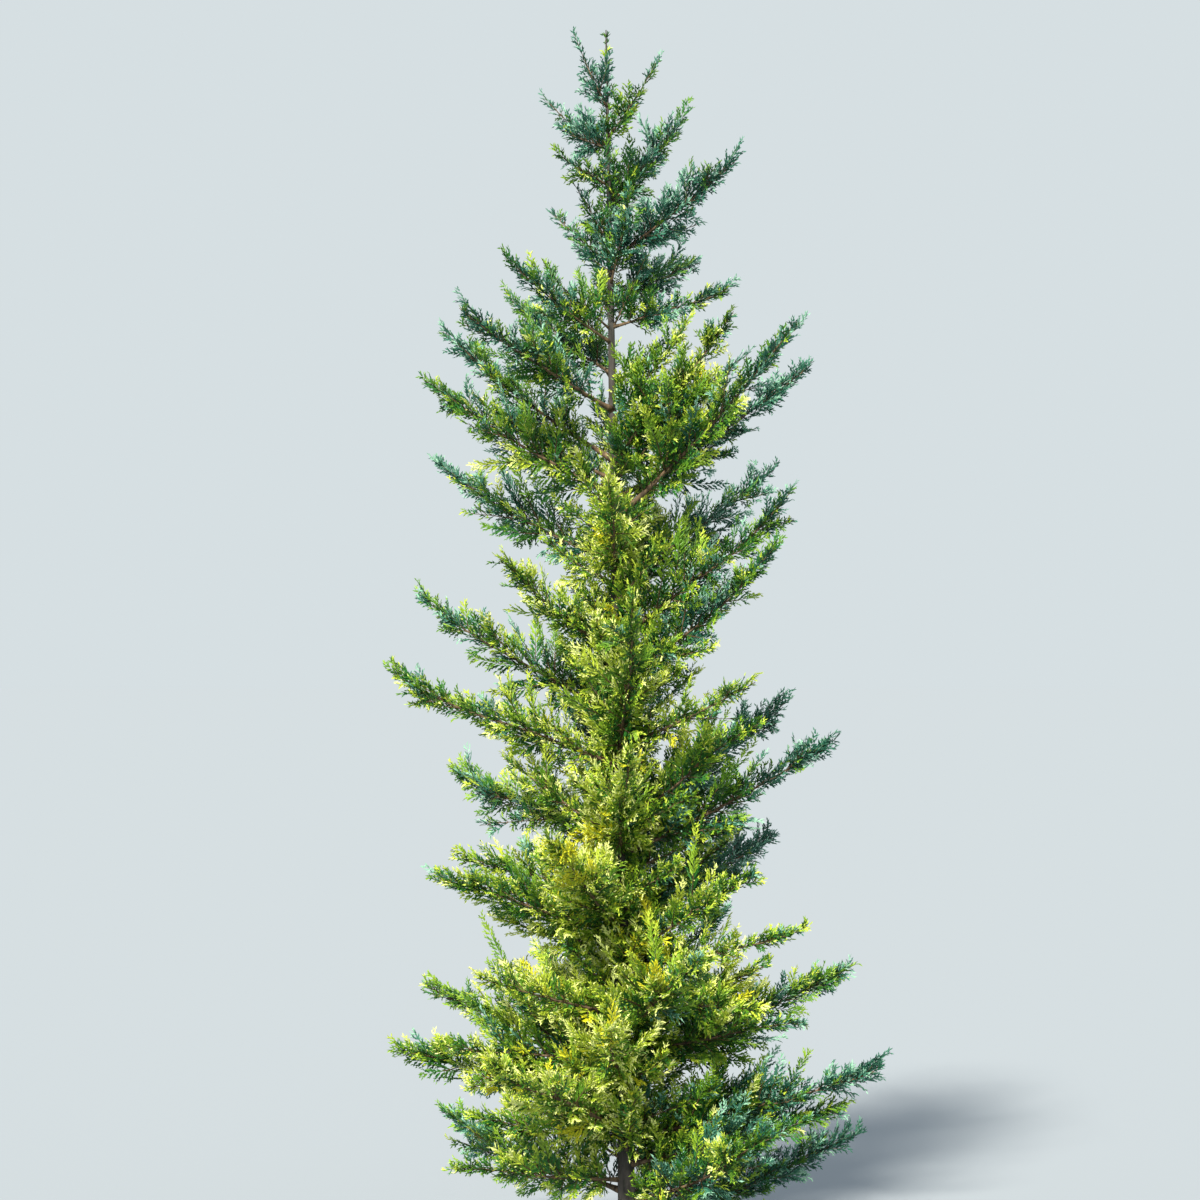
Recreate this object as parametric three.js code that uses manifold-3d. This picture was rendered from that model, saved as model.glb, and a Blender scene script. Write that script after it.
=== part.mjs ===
// A young leyland cypress rooted in level ground: one leaning trunk that runs up through the whole crown,
// the long boughs that leave it, and the masses of flat, toothed foliage sprays that the boughs carry.
// Millimetres, +Z up, origin at the middle of the trunk's flat cut at ground level.
// Seen from the front, the eye looks along +Y with +X to the right.
import * as THREE from "three";
import { mergeVertices } from "three/addons/utils/BufferGeometryUtils.js";
import Module from "manifold-3d";

const wasm = await Module();
wasm.setup();

// Driving dimensions of the trunk
const HEIGHT = 2500;
const LEAN = 44; // the leader's tip stands this far to the left of the foot
const FOOT_RADIUS = 18; // just above the root flare
const TIP_RADIUS = 1.2;
const TRUNK_TAPER = 0.8; // below 1 the trunk keeps its girth low down and thins fast near the tip
const FLARE = 11; // added to the radius at ground level by the root flare
const FLARE_HEIGHT = 45; // height over which the flare dies away to a third
const TRUNK_SIDES = 9;
const TRUNK_RINGS = 20;

// Driving dimensions of boughs, twigs and sprays
const BOUGH_GIRTH = 0.0125; // a bough's radius where it leaves the trunk, as a share of its length
const LEAST_GIRTH = 2.6;
const BOUGH_TAPER = 0.72; // share of its radius that a bough loses from trunk to tip
const BOUGH_SAG = 0.4; // rise of the curve's middle, as a share of the whole rise: under 0.5 it sweeps up
const BOUGH_SIDES = 6;
const LIMB_RINGS = 3;
const LIMB_SHARE = 0.15; // the part of a long bough that is bare limb, from the trunk to its foliage
const STEM_END = 0.9; // the last ring of the stem, past which it runs out to its tip
const RING_PITCH = 25; // distance along a stem from one ring of sprays to the next
const FEWEST_RINGS = 8;
const RANKS = [90, 18, 306, 234, 162]; // the ways that sprays stand out round a stem, in degrees: 90 is up
const RANK_SWING = 22; // how far a spray may stray from its rank, in degrees
const SPRAY_ANGLE = [66, 24]; // degrees between a spray and its stem, by the trunk and at the tip
const SPRAY_LIFT = 0.12; // how far a spray turns up towards the light
const UPWARD = 0.12; // sprays over the stem are longer by this share, and those under it shorter
const SPRAY_LENGTH = 0.4; // length of the longest spray, as a share of the whole bough
const LONGEST_SPRAY = [74, 175]; // the least and the most that a bough's longest spray may have
const SHORTEST_SPRAY = 24; // a spray with no room for this much is left out
const SHORTEN = 0.9; // a spray that leaves its mass's space is cut to this share, again and again
const NOTCH = 0.75; // depth that is left between two sprays of a rank, as a share of their length

// Clearances
const SEAT_GAP = 0.3; // between a piece and what carries it
const SPACE_GAP = 5; // a mass keeps this much nearer to its own bough than to any other
const TRUNK_GAP = 5;
const LIMB_GAP = 4;
const GROUND_GAP = 12;
const MERGE = 0.01; // points closer than this are one

// The boughs that show, each with the way that it points in degrees (0 right, 90 away from the eye,
// 180 left, 270 towards the eye), the heights where it leaves the trunk and where its tip is, and how far
// the tip stands out from the trunk. Long boughs have a bare limb of their own.
const LEFT = [
  ["left_01", 207, 2345, 2492, 74],
  ["left_02", 153, 2262, 2379, 155],
  ["left_03", 230, 2188, 2241, 170],
  ["left_04", 140, 2036, 2154, 162],
  ["left_05", 211, 1874, 2042, 257],
  ["left_06", 140, 1814, 1990, 298],
  ["left_07", 223, 1740, 1927, 415],
  ["left_08", 167, 1640, 1920, 372, "limb"],
  ["left_09", 190, 1570, 1804, 394],
  ["left_10", 150, 1430, 1648, 436],
  ["left_11", 170, 1130, 1376, 414, "limb"],
  ["left_12", 190, 1030, 1222, 467, "limb"],
  ["left_13", 134, 895, 996, 521],
  ["left_14", 207, 695, 830, 415],
  ["left_15", 155, 435, 567, 447],
  ["left_16", 190, 385, 464, 471],
  ["left_17", 140, 175, 266, 517],
];
const RIGHT = [
  ["right_01", 330, 2285, 2439, 124],
  ["right_02", 34, 2150, 2372, 209],
  ["right_03", 330, 2040, 2233, 304],
  ["right_04", 48, 1965, 2067, 297],
  ["right_05", 348, 1905, 1984, 256],
  ["right_06", 322, 1520, 1904, 462, "limb"],
  ["right_07", 10, 1560, 1842, 416, "limb"],
  ["right_08", 48, 1400, 1636, 505],
  ["right_09", 333, 1280, 1578, 398],
  ["right_10", 328, 1190, 1464, 375],
  ["right_11", 310, 1065, 1209, 414],
  ["right_12", 35, 890, 1157, 435],
  ["right_13", 352, 850, 1090, 445, "limb"],
  ["right_14", 50, 720, 860, 517],
  ["right_15", 327, 620, 730, 430],
  ["right_16", 8, 420, 624, 477, "limb"],
  ["right_17", 346, 280, 448, 526, "limb"],
  ["right_18", 18, 100, 262, 500, "limb"],
];
const FRONT = [
  ["front_01", 292, 1990, 2180, 120],
  ["front_02", 318, 1640, 1930, 330],
  ["front_03", 228, 1250, 1440, 338],
  ["front_04", 276, 1040, 1370, 330],
  ["front_05", 250, 700, 920, 400],
  ["front_06", 290, 500, 700, 430],
  ["front_07", 236, 300, 500, 460],
  ["front_08", 312, 150, 340, 430],
];

// The far side of the crown is out of sight. It is filled by a regular spiral of boughs.
const BACK_COUNT = 7;
const BACK_LOW = 150;
const BACK_STEP = 330;
const BACK_REACH = [470, 110]; // reach of the lowest and of the highest
const BACK_RISE = [150, 140];
const BACK_SWING = [66, 116]; // every other one points to either side of straight back
const BACK = Array.from({ length: BACK_COUNT }, (_, i) => {
  const share = i / (BACK_COUNT - 1);
  const base = BACK_LOW + i * BACK_STEP;
  const rise = THREE.MathUtils.lerp(...BACK_RISE, share);
  const reach = THREE.MathUtils.lerp(...BACK_REACH, share);
  return [`back_0${i + 1}`, BACK_SWING[i % 2], base, base + rise, reach];
});

const BARK = new THREE.MeshStandardMaterial({ color: 0x5b4634, roughness: 0.9, metalness: 0 });
const LEAF = new THREE.MeshStandardMaterial({ color: 0x4f7a2c, roughness: 0.6, metalness: 0 });

const UP = new THREE.Vector3(0, 0, 1);
const radians = THREE.MathUtils.degToRad;

// A repeatable stream of numbers from 0 to 1.
function seededRandom(seed) {
  let state = seed * 2654435761;
  return () => {
    state = (state * 1664525 + 1013904223) >>> 0;
    return state / 4294967296;
  };
}

// A closed triangle mesh, as points and index triples, becomes a solid.
function solidFrom(points, triangles) {
  const vertProperties = new Float32Array(points.flatMap((p) => p.toArray()));
  const triVerts = new Uint32Array(triangles.flat());
  return new wasm.Manifold(new wasm.Mesh({ numProp: 3, vertProperties, triVerts }));
}

function geometryOf(solid) {
  const { vertProperties, triVerts } = solid.getMesh();
  const geometry = new THREE.BufferGeometry();
  geometry.setAttribute("position", new THREE.BufferAttribute(vertProperties, 3));
  geometry.setIndex(new THREE.BufferAttribute(triVerts, 1));
  return geometry;
}

const largestPiece = (solid) => solid.decompose().reduce((a, b) => (a.volume() > b.volume() ? a : b));

// The one closed body of a joined solid: hollows and scraps are dropped, and points that nearly meet
// are merged.
function soleBody(solid) {
  const merged = mergeVertices(geometryOf(largestPiece(solid)), MERGE);
  const vertProperties = merged.getAttribute("position").array;
  const triVerts = new Uint32Array(merged.index.array);
  return largestPiece(new wasm.Manifold(new wasm.Mesh({ numProp: 3, vertProperties, triVerts })));
}

function meshFrom(solid, name, material) {
  const mesh = new THREE.Mesh(geometryOf(soleBody(solid)), material);
  mesh.name = name;
  return mesh;
}

// A tapering limb with flat ends: one ring of points about each centre, square to the way that it runs.
function limbSolid(centres, radii, sides) {
  const points = [];
  const triangles = [];
  const last = centres.length - 1;
  centres.forEach((centre, ring) => {
    const before = centres[Math.max(ring - 1, 0)];
    const after = centres[Math.min(ring + 1, last)];
    const along = after.clone().sub(before).normalize();
    const { side, over } = crossFrame(along);
    for (let k = 0; k < sides; k++) {
      const turn = (2 * Math.PI * k) / sides;
      const out = side.clone().multiplyScalar(Math.cos(turn)).addScaledVector(over, Math.sin(turn));
      points.push(centre.clone().addScaledVector(out, radii[ring]));
    }
  });
  for (let ring = 0; ring < last; ring++) {
    for (let k = 0; k < sides; k++) {
      const a = ring * sides + k;
      const b = ring * sides + ((k + 1) % sides);
      triangles.push([a, b, b + sides], [a, b + sides, a + sides]);
    }
  }
  for (let k = 1; k < sides - 1; k++) {
    const end = last * sides;
    triangles.push([0, k + 1, k], [end, end + k, end + k + 1]);
  }
  return solidFrom(points, triangles);
}

// Two directions square to a limb: one level, to its side, and one over it.
function crossFrame(along) {
  const level = Math.abs(along.z) > 0.999 ? new THREE.Vector3(0, 1, 0) : UP;
  const side = new THREE.Vector3().crossVectors(along, level).normalize().negate();
  const over = new THREE.Vector3().crossVectors(along, side).normalize();
  return { side, over };
}

function trunkCentre(height) {
  return new THREE.Vector3((-LEAN * height) / HEIGHT, 0, height);
}

function trunkRadius(height) {
  const taper = (1 - height / HEIGHT) ** TRUNK_TAPER;
  const flare = FLARE * Math.exp(-height / FLARE_HEIGHT);
  return TIP_RADIUS + (FOOT_RADIUS - TIP_RADIUS) * taper + flare;
}

// Rings stand closer together low down, where the flare curves.
function trunkSolid(grown = 0) {
  const heights = Array.from({ length: TRUNK_RINGS + 1 }, (_, i) => HEIGHT * (i / TRUNK_RINGS) ** 1.6);
  const points = [];
  const triangles = [];
  for (const height of heights) {
    for (let k = 0; k < TRUNK_SIDES; k++) {
      const turn = (2 * Math.PI * k) / TRUNK_SIDES;
      const radius = trunkRadius(height) + grown;
      const out = new THREE.Vector3(Math.cos(turn), Math.sin(turn), 0);
      points.push(trunkCentre(height).addScaledVector(out, radius));
    }
  }
  for (let ring = 0; ring < TRUNK_RINGS; ring++) {
    for (let k = 0; k < TRUNK_SIDES; k++) {
      const a = ring * TRUNK_SIDES + k;
      const b = ring * TRUNK_SIDES + ((k + 1) % TRUNK_SIDES);
      triangles.push([a, b, b + TRUNK_SIDES], [a, b + TRUNK_SIDES, a + TRUNK_SIDES]);
    }
  }
  const top = TRUNK_RINGS * TRUNK_SIDES;
  for (let k = 1; k < TRUNK_SIDES - 1; k++) {
    triangles.push([0, k + 1, k], [top, top + k, top + k + 1]);
  }
  return solidFrom(points, triangles);
}

// A bough's line runs from the trunk's middle to the tip of its last spray, and sweeps up as it goes.
function boughOf([name, swing, base, tip, reach, kind], seed) {
  const foot = trunkCentre(base);
  const turn = radians(swing);
  const out = new THREE.Vector3(Math.cos(turn), Math.sin(turn), 0);
  const end = trunkCentre(tip).addScaledVector(out, reach);
  const middle = foot.clone().lerp(end, 0.5);
  middle.z = base + (tip - base) * BOUGH_SAG;
  const line = new THREE.QuadraticBezierCurve3(foot, middle, end);
  const length = line.getLength();
  const girth = Math.max(LEAST_GIRTH, BOUGH_GIRTH * length);
  const bare = kind === "limb" ? LIMB_SHARE : 0;
  const stretch = (from, to) =>
    Array.from({ length: 13 }, (_, i) => line.getPoint(THREE.MathUtils.lerp(from, to, i / 12)));
  return { name, line, length, girth, bare, seed, limb: stretch(0, bare), stem: stretch(bare, 1) };
}

const radiusAt = (bough, share) => bough.girth * (1 - BOUGH_TAPER * share);

const BOUGHS = [...LEFT, ...RIGHT, ...FRONT, ...BACK].map((row, i) => boughOf(row, i + 1));

function distanceToPath(point, path) {
  const segment = new THREE.Line3();
  const nearest = new THREE.Vector3();
  let least = Infinity;
  for (let i = 0; i + 1 < path.length; i++) {
    segment.set(path[i], path[i + 1]).closestPointToPoint(point, true, nearest);
    least = Math.min(least, nearest.distanceTo(point));
  }
  return least;
}

// A mass's own space: nearer to its own stem than to any other, and clear of trunk, limbs and ground.
function inOwnSpace(point, bough) {
  if (point.z < GROUND_GAP) return false;
  const height = Math.min(point.z, HEIGHT);
  const toTrunk = trunkCentre(height).distanceTo(point);
  if (toTrunk < trunkRadius(height) + TRUNK_GAP) return false;
  if (bough.bare > 0) {
    const fromLimb = point.clone().sub(bough.stem[0]);
    if (fromLimb.dot(bough.line.getTangent(bough.bare)) < 1) return false;
  }
  const own = distanceToPath(point, bough.stem);
  return BOUGHS.every((other) => {
    if (other === bough) return true;
    if (other.bare > 0 && distanceToPath(point, other.limb) < other.girth + LIMB_GAP) return false;
    return distanceToPath(point, other.stem) > own + SPACE_GAP;
  });
}

// Sprays are longest about a fifth of the way along the bough, and shorten to the tip.
function sprayLength(bough, share) {
  const longest = THREE.MathUtils.clamp(SPRAY_LENGTH * bough.length, ...LONGEST_SPRAY);
  return longest * (1 - share) ** 0.7 * Math.min(1, 0.75 + share * 1.2);
}

// The longest spray that keeps to its mass's own space, from halfway along to its tip, or 0 for no room.
function roomFor(bough, root, along, fullLength) {
  for (let length = fullLength; length >= SHORTEST_SPRAY; length *= SHORTEN) {
    const places = [0.5, 0.75, 1].map((share) => root.clone().addScaledVector(along, share * length));
    if (places.every((p) => inOwnSpace(p, bough))) return length;
  }
  return 0;
}

// One ring of a stem: its place, its girth, and the way and length of the spray that each rank may have.
function stemRing(bough, share, random) {
  const centre = bough.line.getPoint(share);
  const stem = bough.line.getTangent(share);
  const { side, over } = crossFrame(stem);
  const around = (turn) =>
    side.clone().multiplyScalar(Math.cos(turn)).addScaledVector(over, Math.sin(turn));
  const angle = radians(THREE.MathUtils.lerp(...SPRAY_ANGLE, share));
  const sprays = RANKS.map((rank) => {
    const out = around(radians(rank + RANK_SWING * (random() - 0.5)));
    const along = stem.clone().multiplyScalar(Math.cos(angle)).addScaledVector(out, Math.sin(angle));
    along.addScaledVector(UP, SPRAY_LIFT).normalize();
    const length = sprayLength(bough, share) * (1 + UPWARD * out.z) * (0.8 + 0.4 * random());
    return { along, length: roomFor(bough, centre, along, length) };
  });
  return { centre, radius: radiusAt(bough, share), around, sprays };
}

const trunkRoom = trunkSolid(SEAT_GAP / Math.cos(Math.PI / TRUNK_SIDES));

// A mass of foliage: a stem with ranks of thin, pointed sprays that lean forward, with a notch between
// one spray and the next. Neighbouring ranks alternate. It is one closed skin, made a ring of points at a
// time: in each rank a spray's tip or a notch, and between the ranks the stem's own bark.
function massSolid(bough) {
  const random = seededRandom(bough.seed);
  const start = bough.bare > 0 ? bough.bare : (0.5 * trunkRadius(bough.stem[0].z)) / bough.length;
  const steps = Math.max(FEWEST_RINGS, Math.round(((STEM_END - start) * bough.length) / RING_PITCH));
  const rings = [];
  for (let i = 0; i <= steps; i++) {
    rings.push(stemRing(bough, THREE.MathUtils.lerp(start, STEM_END, i / steps), random));
  }
  if (bough.bare > 0) rings[0].centre.addScaledVector(bough.line.getTangent(bough.bare), SEAT_GAP);
  const hasTip = (i, rank) => i > 0 && i < steps && (i + rank) % 2 === 0;
  const points = [];
  rings.forEach(({ centre, radius, around, sprays }, i) => {
    sprays.forEach(({ along, length }, rank) => {
      const turn = radians(RANKS[rank]);
      const between = turn - Math.PI / RANKS.length;
      const inner = i > 0 && i < steps;
      const beside = inner ? [rings[i - 1].sprays[rank].length, rings[i + 1].sprays[rank].length] : [0];
      const depth = hasTip(i, rank) ? length : NOTCH * Math.min(...beside);
      const onSkin = centre.clone().addScaledVector(around(turn), radius);
      const onSpray = centre.clone().addScaledVector(along, depth);
      points.push(depth > 2.5 * radius ? onSpray : onSkin);
      points.push(centre.clone().addScaledVector(around(between), radius));
    });
  });
  const sides = 2 * RANKS.length;
  const triangles = [];
  for (let i = 0; i < steps; i++) {
    for (let k = 0; k < sides; k++) {
      const a = i * sides + k;
      const b = i * sides + ((k + 1) % sides);
      const rank = k % 2 === 0 ? k / 2 : ((k + 1) / 2) % RANKS.length;
      const fromTip = hasTip(i, rank) === (k % 2 === 0);
      if (fromTip) triangles.push([a, b + sides, b], [a, a + sides, b + sides]);
      else triangles.push([a, a + sides, b], [b, a + sides, b + sides]);
    }
  }
  const tip = points.push(bough.line.getPoint(1)) - 1;
  const last = steps * sides;
  for (let k = 0; k < sides; k++) triangles.push([last + k, tip, last + ((k + 1) % sides)]);
  for (let k = 1; k < sides - 1; k++) triangles.push([0, k, k + 1]);
  const whole = solidFrom(points, triangles);
  return bough.bare > 0 ? whole : whole.subtract(trunkRoom);
}

function boughSolid(bough) {
  const centres = [];
  const radii = [];
  for (let i = 0; i <= LIMB_RINGS; i++) {
    const share = (bough.bare * i) / LIMB_RINGS;
    centres.push(bough.line.getPoint(share));
    radii.push(radiusAt(bough, share));
  }
  return limbSolid(centres, radii, BOUGH_SIDES).subtract(trunkRoom);
}

const tree = new THREE.Group();
tree.add(meshFrom(trunkSolid(), "trunk", BARK));
for (const bough of BOUGHS) {
  if (bough.bare > 0) tree.add(meshFrom(boughSolid(bough), `bough_${bough.name}`, BARK));
  tree.add(meshFrom(massSolid(bough), `foliage_${bough.name}`, LEAF));
}

export default tree;
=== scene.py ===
import math
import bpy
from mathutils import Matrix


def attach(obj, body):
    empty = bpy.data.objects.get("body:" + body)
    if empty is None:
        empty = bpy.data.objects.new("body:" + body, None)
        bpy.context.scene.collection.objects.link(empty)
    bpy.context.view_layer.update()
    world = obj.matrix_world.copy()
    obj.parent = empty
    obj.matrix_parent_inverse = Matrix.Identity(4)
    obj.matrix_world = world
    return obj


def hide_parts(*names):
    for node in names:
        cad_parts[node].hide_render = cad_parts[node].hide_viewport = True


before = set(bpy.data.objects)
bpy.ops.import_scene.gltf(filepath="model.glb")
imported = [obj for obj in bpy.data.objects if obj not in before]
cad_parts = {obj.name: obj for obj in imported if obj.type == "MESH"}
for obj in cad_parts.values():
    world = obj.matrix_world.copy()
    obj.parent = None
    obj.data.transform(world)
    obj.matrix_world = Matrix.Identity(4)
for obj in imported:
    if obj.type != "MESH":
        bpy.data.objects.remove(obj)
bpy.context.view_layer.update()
import zlib

import bpy
import numpy as np
from mathutils import Vector, noise


# The trunk: one leaning stem of rough, dark grey bark, widest at the root flare and thinned to a
# whip at the leader's tip. It grows up through the whole crown and is cut flat at ground level.
TRUNK_HEIGHT = 2.5
TRUNK_LEAN = 0.044
FOOT_RADIUS = 0.018
TIP_RADIUS = 0.0012
TRUNK_TAPER = 0.8
FLARE = 0.011
FLARE_HEIGHT = 0.045
TRUNK_SIDES = 30
TRUNK_RINGS = 240
RING_CROWDING = 1.15  # over 1, so rings stand closer near the foot
TRUNK_GRAIN = 3.0  # sets the trunk's ridges apart from those of the boughs
BARK_RELIEF = 0.09  # height of the bark's ridges, as a share of the radius
RIDGES_ROUND = 2.1
RIDGES_ALONG = 14
FINE_RIDGES = 2.3  # how many times closer the fine ridges stand
FINE_RELIEF = 0.5  # and their share of the height
ROOT_LOBES = 5
LOBE_DEPTH = 0.35  # as a share of the flare
LOBE_TURN = 0.6


def trunk_centre(height):
    height = np.asarray(height, dtype=float)
    return np.stack([-TRUNK_LEAN * height / TRUNK_HEIGHT, 0 * height, height], axis=-1)


def trunk_radius(height):
    height = np.clip(height, 0, TRUNK_HEIGHT)
    taper = (1 - height / TRUNK_HEIGHT) ** TRUNK_TAPER
    return TIP_RADIUS + (FOOT_RADIUS - TIP_RADIUS) * taper + FLARE * np.exp(-height / FLARE_HEIGHT)


def bark_ridges(turn, distance, offset):
    """Height of long ridges that run with the wood, at an angle round a limb and a distance along it."""
    place = Vector((RIDGES_ROUND * math.cos(turn) + offset, RIDGES_ROUND * math.sin(turn),
                    RIDGES_ALONG * distance))
    return noise.noise(place) + FINE_RELIEF * noise.noise(FINE_RIDGES * place)


def mesh_piece(name, points, triangles, materials, kinds=None, smooth=False):
    """A new object made of triangles, with the number of its material for each where there are several."""
    mesh = bpy.data.meshes.new(name)
    mesh.vertices.add(len(points))
    mesh.vertices.foreach_set("co", np.asarray(points, dtype=np.float32).ravel())
    mesh.loops.add(3 * len(triangles))
    mesh.loops.foreach_set("vertex_index", np.asarray(triangles, dtype=np.int32).ravel())
    mesh.polygons.add(len(triangles))
    mesh.polygons.foreach_set("loop_start", np.arange(0, 3 * len(triangles), 3, dtype=np.int32))
    for material in materials:
        mesh.materials.append(material)
    if kinds is not None:
        mesh.polygons.foreach_set("material_index", np.asarray(kinds, dtype=np.int32))
    mesh.update(calc_edges=True)
    mesh.validate()
    if smooth:
        mesh.shade_smooth()
    else:
        mesh.shade_flat()
    piece = bpy.data.objects.new(name, mesh)
    bpy.context.scene.collection.objects.link(piece)
    return piece


def tube_triangles(rings, sides):
    """Faces of a closed tube, ring after ring, with a flat cap on either end."""
    ring, side = np.divmod(np.arange((rings - 1) * sides), sides)
    corner = ring * sides + side
    beside = ring * sides + (side + 1) % sides
    walls = np.concatenate([np.stack([corner, beside, beside + sides], 1),
                            np.stack([corner, beside + sides, corner + sides], 1)])
    fan = np.arange(1, sides - 1)
    end = (rings - 1) * sides
    foot_cap = np.stack([0 * fan, fan + 1, fan], 1)
    end_cap = np.stack([0 * fan + end, end + fan, end + fan + 1], 1)
    return np.concatenate([walls, foot_cap, end_cap])


def srgb(red, green, blue):
    """A display colour, 0 to 255, as the linear values that a shader takes, by the sRGB curve."""
    share = np.array([red, green, blue]) / 255
    linear = np.where(share <= 0.04045, share / 12.92, ((share + 0.055) / 1.055) ** 2.4)
    return (*linear, 1.0)


# Bark grain: furrows drawn out upright and a patchy bloom of pale dust, for every bark.
bark_grain = bpy.data.node_groups.new("bark_grain", "ShaderNodeTree")
for socket, kind in (("Furrow", "NodeSocketColor"), ("Ridge", "NodeSocketColor"),
                     ("Fineness", "NodeSocketFloat"), ("Dust", "NodeSocketFloat")):
    bark_grain.interface.new_socket(socket, in_out="INPUT", socket_type=kind)
for socket, kind in (("Colour", "NodeSocketColor"), ("Roughness", "NodeSocketFloat"),
                     ("Height", "NodeSocketFloat")):
    bark_grain.interface.new_socket(socket, in_out="OUTPUT", socket_type=kind)
grain_in = bark_grain.nodes.new("NodeGroupInput")
grain_out = bark_grain.nodes.new("NodeGroupOutput")
grain_place = bark_grain.nodes.new("ShaderNodeTexCoord")
grain_stretch = bark_grain.nodes.new("ShaderNodeVectorMath")
grain_stretch.operation = "MULTIPLY"
grain_stretch.inputs[1].default_value = (1.0, 1.0, 0.22)
grain_furrows = bark_grain.nodes.new("ShaderNodeTexNoise")
grain_furrows.inputs["Detail"].default_value = 6
grain_furrows.inputs["Roughness"].default_value = 0.65
grain_flakes = bark_grain.nodes.new("ShaderNodeTexNoise")
grain_flakes.inputs["Scale"].default_value = 46
grain_flakes.inputs["Detail"].default_value = 3
grain_ramp = bark_grain.nodes.new("ShaderNodeMapRange")
grain_ramp.inputs["From Min"].default_value = 0.36
grain_ramp.inputs["From Max"].default_value = 0.66
grain_mix = bark_grain.nodes.new("ShaderNodeMix")
grain_mix.data_type = "RGBA"
grain_dust = bark_grain.nodes.new("ShaderNodeMath")
grain_dust.operation = "MULTIPLY"
grain_bloom = bark_grain.nodes.new("ShaderNodeMix")
grain_bloom.data_type = "RGBA"
grain_bloom.inputs[7].default_value = srgb(150, 150, 132)
grain_rough = bark_grain.nodes.new("ShaderNodeMapRange")
grain_rough.inputs["To Min"].default_value = 0.95
grain_rough.inputs["To Max"].default_value = 0.72
grain_link = bark_grain.links.new
grain_link(grain_place.outputs["Object"], grain_stretch.inputs[0])
grain_link(grain_stretch.outputs[0], grain_furrows.inputs["Vector"])
grain_link(grain_in.outputs["Fineness"], grain_furrows.inputs["Scale"])
grain_link(grain_place.outputs["Object"], grain_flakes.inputs["Vector"])
grain_link(grain_furrows.outputs["Fac"], grain_ramp.inputs["Value"])
grain_link(grain_ramp.outputs["Result"], grain_mix.inputs["Factor"])
grain_link(grain_in.outputs["Furrow"], grain_mix.inputs[6])
grain_link(grain_in.outputs["Ridge"], grain_mix.inputs[7])
grain_link(grain_flakes.outputs["Fac"], grain_dust.inputs[0])
grain_link(grain_in.outputs["Dust"], grain_dust.inputs[1])
grain_link(grain_dust.outputs[0], grain_bloom.inputs["Factor"])
grain_link(grain_mix.outputs[2], grain_bloom.inputs[6])
grain_link(grain_bloom.outputs[2], grain_out.inputs["Colour"])
grain_link(grain_ramp.outputs["Result"], grain_rough.inputs["Value"])
grain_link(grain_rough.outputs["Result"], grain_out.inputs["Roughness"])
grain_link(grain_furrows.outputs["Fac"], grain_out.inputs["Height"])


def bark_material(name, furrow, ridge, fineness, dust):
    material = bpy.data.materials.new(name)
    material.use_nodes = True
    nodes, link = material.node_tree.nodes, material.node_tree.links.new
    shader = nodes["Principled BSDF"]
    shader.inputs["Specular IOR Level"].default_value = 0.25
    grain = nodes.new("ShaderNodeGroup")
    grain.node_tree = bark_grain
    grain.inputs["Furrow"].default_value = furrow
    grain.inputs["Ridge"].default_value = ridge
    grain.inputs["Fineness"].default_value = fineness
    grain.inputs["Dust"].default_value = dust
    bump = nodes.new("ShaderNodeBump")
    bump.inputs["Strength"].default_value = 0.7
    bump.inputs["Distance"].default_value = 0.002
    link(grain.outputs["Colour"], shader.inputs["Base Color"])
    link(grain.outputs["Roughness"], shader.inputs["Roughness"])
    link(grain.outputs["Height"], bump.inputs["Height"])
    link(bump.outputs["Normal"], shader.inputs["Normal"])
    return material


trunk_heights = TRUNK_HEIGHT * np.linspace(0, 1, TRUNK_RINGS) ** RING_CROWDING
trunk_turns = 2 * np.pi * np.arange(TRUNK_SIDES) / TRUNK_SIDES
trunk_points = []
for height in trunk_heights:
    lobe = LOBE_DEPTH * FLARE * math.exp(-height / FLARE_HEIGHT)
    lobes = lobe * np.cos(ROOT_LOBES * trunk_turns + LOBE_TURN)
    ridges = np.array([bark_ridges(turn, height, TRUNK_GRAIN) for turn in trunk_turns])
    radius = trunk_radius(height) * (1 + BARK_RELIEF * ridges) + lobes
    around = np.stack([np.cos(trunk_turns), np.sin(trunk_turns), 0 * trunk_turns], axis=1)
    trunk_points.append(trunk_centre(height) + around * radius[:, None])
trunk_bark = bark_material("trunk_bark", furrow=srgb(28, 27, 29), ridge=srgb(66, 61, 62),
                           fineness=70, dust=0.14)
trunk = mesh_piece("trunk_bark_relief", np.concatenate(trunk_points),
                   tube_triangles(TRUNK_RINGS, TRUNK_SIDES), [trunk_bark], smooth=True)
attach(trunk, "root")
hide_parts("trunk")


# The boughs: limbs of browner wood that leave the trunk at a collar and sweep up to their tips, most of
# them thinner than a pencil. The longer ones fork, and all are joined in one mesh.
UP = np.array([0.0, 0.0, 1.0])
BOUGH_GIRTH = 0.0125  # radius at the trunk, as a share of the length
LEAST_GIRTH = 0.0026
BOUGH_TAPER = 0.72
STEM_TAPER = 0.6  # the stem inside the foliage thins by this share more, to a whip at its tip
STEM_TAPER_POWER = 0.6  # under 1, so it thins soonest near the trunk
BOUGH_SAG = 0.4
BOUGH_SWAY = 0.06  # how far a stem wanders from its sweep, as a share of its reach
SWAY_WAVE = 7
SWAY_POWER = 1.5  # over 1, so the foot of the stem stays true
SWAY_CALM = 0.6  # and its tip wanders less by this share
LENGTH_POINTS = 201
PATH_POINTS = 13
WAY_STEP = 0.02
LIMB_SHARE = 0.15  # the bare foot of a bough whose limb is a solid of its own
BOUGH_SIDES = 8
BOUGH_PITCH = 0.016
LEAST_RINGS = 6
BOUGH_SUNK = 0.4  # where the mesh starts, as a share of the part that is buried
BOUGH_END = 0.96
BOUGH_RELIEF = 0.7 * BARK_RELIEF
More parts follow.
